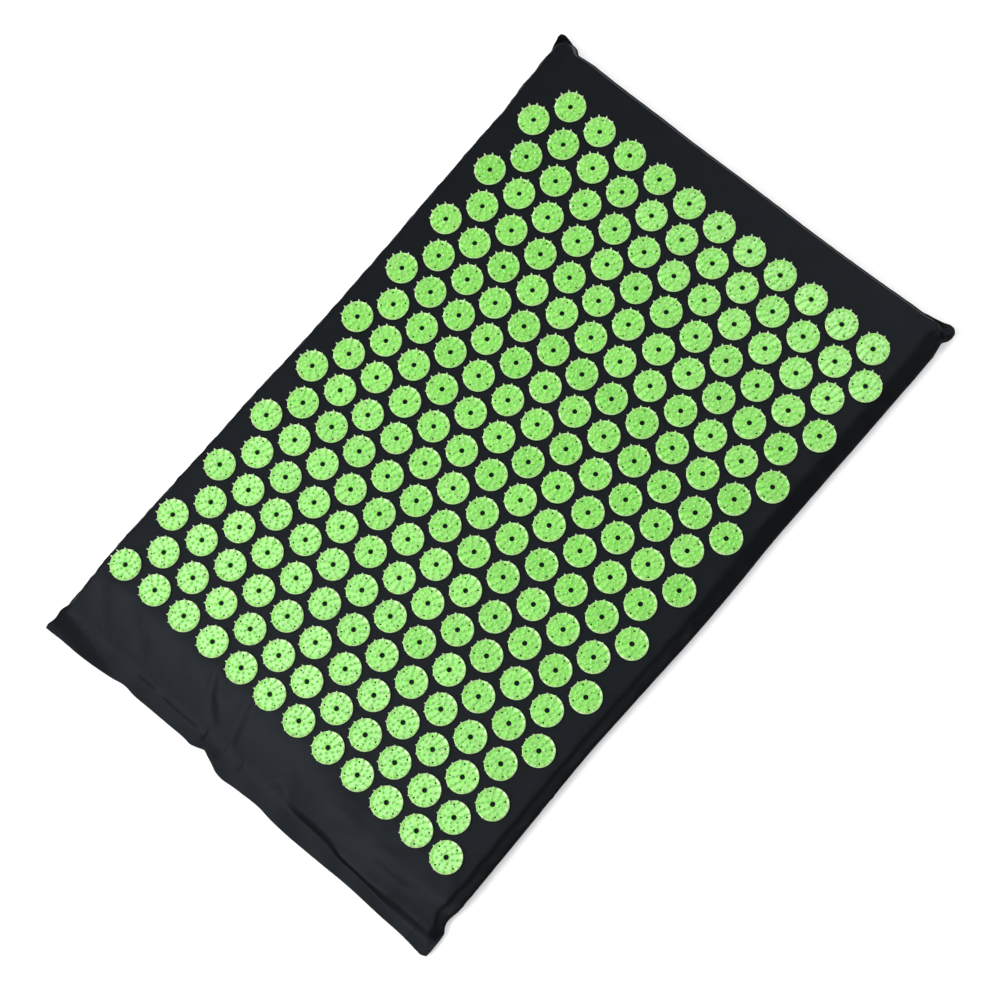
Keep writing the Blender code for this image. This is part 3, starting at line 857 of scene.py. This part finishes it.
def field_place(x, y):
    """Where a disc of the regular field lies on the cloth."""
    across, along = x / 0.2, y / 0.303
    move_x = np.polynomial.polynomial.polyval2d(across, along, CARRIED_X)
    move_y = np.polynomial.polynomial.polyval2d(across, along, CARRIED_Y)
    return x + move_x / 1000, y + move_y / 1000


shape_points, shape_faces = disc_shape()
# Painted highlight: a share from 0 to 1 on the rim bead, where the disc material turns pale as if lit
painted_rim_highlight = smooth(np.hypot(shape_points[:, 0], shape_points[:, 1]), 0.0128, 0.0133)
painted_rim_highlight = painted_rim_highlight * (shape_points[:, 2] > 0.0004) * (shape_points[:, 2] < 0.002)

# Rows of discs from the head to the foot, of 11 and 12 in turn, each disc a little off its place
turn_cos, turn_sin = math.cos(FIELD_TURN), math.sin(FIELD_TURN)
rng = np.random.default_rng(68)
number = 0
for row in range(ROWS):
    count = LONG_ROW - 1 + row % 2
    row_points, row_faces, tones, rises = [], [], [], []
    for column in range(count):
        x = (column - (count - 1) / 2) * PITCH
        y = ((ROWS - 1) / 2 - row) * ROW_STEP
        x, y = field_place(x * turn_cos - y * turn_sin, FIELD_CENTRE_Y + x * turn_sin + y * turn_cos)
        spin = math.radians(137.5 * number) + rng.uniform(-0.5, 0.5)
        x += rng.normal(0, 0.00022)
        y += rng.normal(0, 0.00020)
        tilt_x, tilt_y = rng.normal(0, 0.006, 2)
        turned_x = shape_points[:, 0] * math.cos(spin) - shape_points[:, 1] * math.sin(spin)
        turned_y = shape_points[:, 0] * math.sin(spin) + shape_points[:, 1] * math.cos(spin)
        z = shape_points[:, 2] + turned_x * tilt_x + turned_y * tilt_y + DISC_BASE_Z
        start = column * len(shape_points)
        row_points.append(np.stack([turned_x + x, turned_y + y, z], 1))
        row_faces.extend(tuple(start + i for i in face) for face in shape_faces)
        tones.append(np.full(len(shape_points), rng.uniform(0, 1)))
        rises.append(shape_points[:, 2])
        number += 1
    discs = add_mesh(
        f"spiked_discs_row_{row + 1:02d}", np.concatenate(row_points), row_faces,
        disc_plastic, SHARP_FROM,
    )
    add_values(discs, "tone", np.concatenate(tones))
    add_values(discs, "rise", np.concatenate(rises))
    add_values(discs, "edge", np.tile(painted_rim_highlight, count))
    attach(discs, "cover")
    if row == DETAILED_ROW:
        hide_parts(*[f"spiked_disc_{column + 1:02d}" for column in range(count)])
    else:
        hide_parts("cover_top_panel")


# Hook and loop tapes under the closing hem
def tape_grid(low, high, rows=5, columns=190):
    """Two grids of points, upper and lower, that follow the hem."""
    u = np.linspace(-TAPE_HALF, TAPE_HALF, columns)
    v = np.linspace(TAPE_FAR_Y, TAPE_NEAR_Y, rows)
    tape_u, tape_v = np.meshgrid(u, v)
    x, y = on_outline(tape_u, tape_v)
    lift = PINCH_LIFT * pinch(x, y)
    upper = np.stack([x, y, high + lift], -1)
    lower = np.stack([x, y, low + lift], -1)
    return upper, lower, np.stack([tape_u, tape_v, tape_u * 0], -1)


def tube(path, radius, sides=4):
    """Points and faces of a thin closed tube along a path."""
    path = np.asarray(path, float)
    way = np.gradient(path, axis=0)
    way /= np.linalg.norm(way, axis=1, keepdims=True)
    aside = np.cross(way, np.array([0.31, 0.17, 0.93]))
    aside /= np.linalg.norm(aside, axis=1, keepdims=True)
    up = np.cross(aside, way)
    angles = 2 * math.pi * np.arange(sides) / sides
    rings = []
    for place, a, b in zip(path, aside, up):
        rings.append(place + radius * (np.outer(np.cos(angles), a) + np.outer(np.sin(angles), b)))
    faces = []
    for start in range(0, (len(path) - 1) * sides, sides):
        for i in range(sides):
            j = (i + 1) % sides
            faces.append((start + sides + i, start + sides + j, start + j, start + i))
    faces.append(tuple(range(sides)))
    faces.append(tuple(range((len(path) - 1) * sides, len(path) * sides))[::-1])
    return np.concatenate(rings), faces


def scatter(name, copied, places, material):
    """One piece from many copies of a small shape, each at an (x, y, z, turn)."""
    shape, shape_face = copied
    points, faces = [], []
    for number, (x, y, z, turn) in enumerate(places):
        c, s = math.cos(turn), math.sin(turn)
        points.append(np.stack([
            x + shape[:, 0] * c - shape[:, 1] * s, y + shape[:, 0] * s + shape[:, 1] * c, z + shape[:, 2],
        ], 1))
        start = number * len(shape)
        faces.extend(tuple(start + i for i in face) for face in shape_face)
    return add_mesh(name, np.concatenate(points), faces, material)


upper, lower, weave = tape_grid(*HOOK_TAPE_Z)
hook_tape = closed_cloth("hook_tape", upper, lower, weave, hook_nylon, rim=0.0002)
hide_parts("hook_strip")
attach(hook_tape, "closure_flap")
upper, lower, weave = tape_grid(*LOOP_TAPE_Z)
loop_tape = closed_cloth("loop_tape", upper, lower, weave, loop_nylon, rim=0.0002)
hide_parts("loop_strip")
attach(loop_tape, "cover")

# Hooks and loops, as paths in metres, and how far apart they stand across and along
HOOK_PITCH = (0.0016, 0.0013)
hook_path = (
    (0, 0, 0.00005), (0, 0, -0.00030), (0.00006, 0, -0.00055), (0.00022, 0, -0.00066),
    (0.00038, 0, -0.00052),
)
loop_turns = np.linspace(0.05, math.pi - 0.05, 6)
loop_path = [(0.00035 * math.cos(t), 0, 0.00065 * math.sin(t)) for t in loop_turns]
hook_places, loop_places = [], []
for u in np.arange(-TAPE_HALF + 0.0012, TAPE_HALF - 0.0010, HOOK_PITCH[0]):
    for v in np.arange(TAPE_FAR_Y + 0.0012, TAPE_NEAR_Y - 0.0008, HOOK_PITCH[1]):
        x, y = on_outline(np.array(u), np.array(v))
        lift = PINCH_LIFT * pinch(x, y)
        turn = rng.integers(0, 2) * math.pi + rng.normal(0, 0.2)
        hook_places.append((x, y, HOOK_TAPE_Z[0] + lift, turn))
        moved_x = x + rng.normal(0, 0.0003)
        moved_y = y + rng.normal(0, 0.0003)
        loop_places.append((moved_x, moved_y, LOOP_TAPE_Z[1] + lift, rng.uniform(0, math.pi)))
hooks = scatter("hooks", tube(hook_path, 0.00009), hook_places, hook_nylon)
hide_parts("hook_strip")
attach(hooks, "closure_flap")
loops = scatter("loops", tube(loop_path, 0.00007, 3), loop_places, loop_nylon)
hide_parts("loop_strip")
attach(loops, "cover")


# Sewing thread along the hem: two lines of stitches
STITCH_LINES = (-0.3206, -0.3318)
STITCH_PITCH = 0.0031
stitch_path = (
    (-0.00125, 0, -0.00016), (-0.0009, 0, 0.00004), (0, 0, 0.00010), (0.0009, 0, 0.00004),
    (0.00125, 0, -0.00016),
)
stitch_places = []
for line in STITCH_LINES:
    for u in np.arange(-FLAP_HALF + 0.003, FLAP_HALF - 0.002, STITCH_PITCH):
        before, here, after = top_skin(np.array([u - 0.001, u, u + 0.001]), np.array([line] * 3))
        turn = math.atan2(after[1] - before[1], after[0] - before[0])
        stitch_places.append((here[0], here[1], here[2] - 0.00012, turn))
stitch_shape = tube(stitch_path, 0.00017, 6)
stitches = scatter("hem_stitches", stitch_shape, stitch_places, thread_black)
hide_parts("closure_flap")
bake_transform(stitches)


# Floor, light and camera
FLOOR_HALF = 30
FLOOR_Z = -0.0002
BACKDROP_HEIGHT = 9.0
FLOOR_SEEN = (0.62, 0.62, 0.62)
FLOOR_BOUNCE = (0.35, 0.35, 0.36)
floor_mesh = bpy.data.meshes.new("floor")
corners = [(x * FLOOR_HALF, y * FLOOR_HALF) for x, y in ((-1, -1), (1, -1), (1, 1), (-1, 1))]
floor_points = [(x, y, FLOOR_Z) for x, y in corners]
floor_points += [(1.2 * x, 1.2 * y, BACKDROP_HEIGHT) for x, y in corners]
backdrop = [(i, i + 4, (i + 1) % 4 + 4, (i + 1) % 4) for i in range(4)]
floor_mesh.from_pydata(floor_points, [], [(0, 1, 2, 3)] + backdrop)
floor = bpy.data.objects.new("floor", floor_mesh)
bpy.context.scene.collection.objects.link(floor)
floor_white, tree, shader = new_material("floor_white")
shader.inputs["Roughness"].default_value = 1.0
shader.inputs["Specular IOR Level"].default_value = 0.0
shader.inputs["Emission Color"].default_value = (1.0, 1.0, 1.0, 1.0)
ray = node(tree, "ShaderNodeLightPath").outputs
seen = math_node(tree, "MAXIMUM", ray["Is Camera Ray"], ray["Is Glossy Ray"])
seen = math_node(tree, "MAXIMUM", seen, ray["Is Transmission Ray"])
tree.links.new(mixed(tree, seen, FLOOR_BOUNCE, FLOOR_SEEN), shader.inputs["Base Color"])
tree.links.new(math_node(tree, "MULTIPLY", seen, 0.42), shader.inputs["Emission Strength"])
floor_mesh.materials.append(floor_white)


def soft_light(name, place, size, radiance):
    """A plain white panel that faces the mat's middle."""
    data = bpy.data.lights.new(name, "AREA")
    data.shape = "RECTANGLE"
    data.size, data.size_y = size
    data.energy = radiance * math.pi * size[0] * size[1]
    lamp = bpy.data.objects.new(name, data)
    bpy.context.scene.collection.objects.link(lamp)
    lamp.location = place
    lamp.rotation_euler = (-Vector(place)).to_track_quat("-Z", "Y").to_euler()
    lamp.visible_camera = False


# Name, place, size and radiance
soft_light("key", (-0.52, -0.58, 1.75), (1.4, 0.7), 4.0)
soft_light("low", (-0.45, -1.36, 1.55), (1.3, 0.95), 7.4)
soft_light("top", (-0.12, -0.38, 1.75), (0.5, 0.35), 2.2)
soft_light("head", (-0.15, 1.00, 1.75), (0.7, 0.5), 6.7)
soft_light("fill", (0.55, 1.15, 1.30), (1.3, 1.3), 2.2)
soft_light("side", (-1.65, 0.60, 1.25), (1.4, 1.4), 0.7)

world = bpy.data.worlds.new("studio")
bpy.context.scene.world = world
world.use_nodes = True
background = world.node_tree.nodes["Background"]
background.inputs["Color"].default_value = (1.0, 1.0, 1.0, 1.0)
background.inputs["Strength"].default_value = 0.25

camera_data = bpy.data.cameras.new("camera")
camera_data.lens = 75.958
camera_data.sensor_width = 36.0
camera_data.shift_x = -0.00045
camera_data.shift_y = 0.00035
camera_data.clip_start = 0.05
camera_data.clip_end = 30.0
camera = bpy.data.objects.new("camera", camera_data)
bpy.context.scene.collection.objects.link(camera)
camera.location = (0.44906, -0.16018, 1.71247)
camera.rotation_euler = [math.radians(a) for a in (12.9685, 7.7209, 40.7264)]
bpy.context.scene.camera = camera
bpy.context.scene.view_settings.view_transform = "Standard"
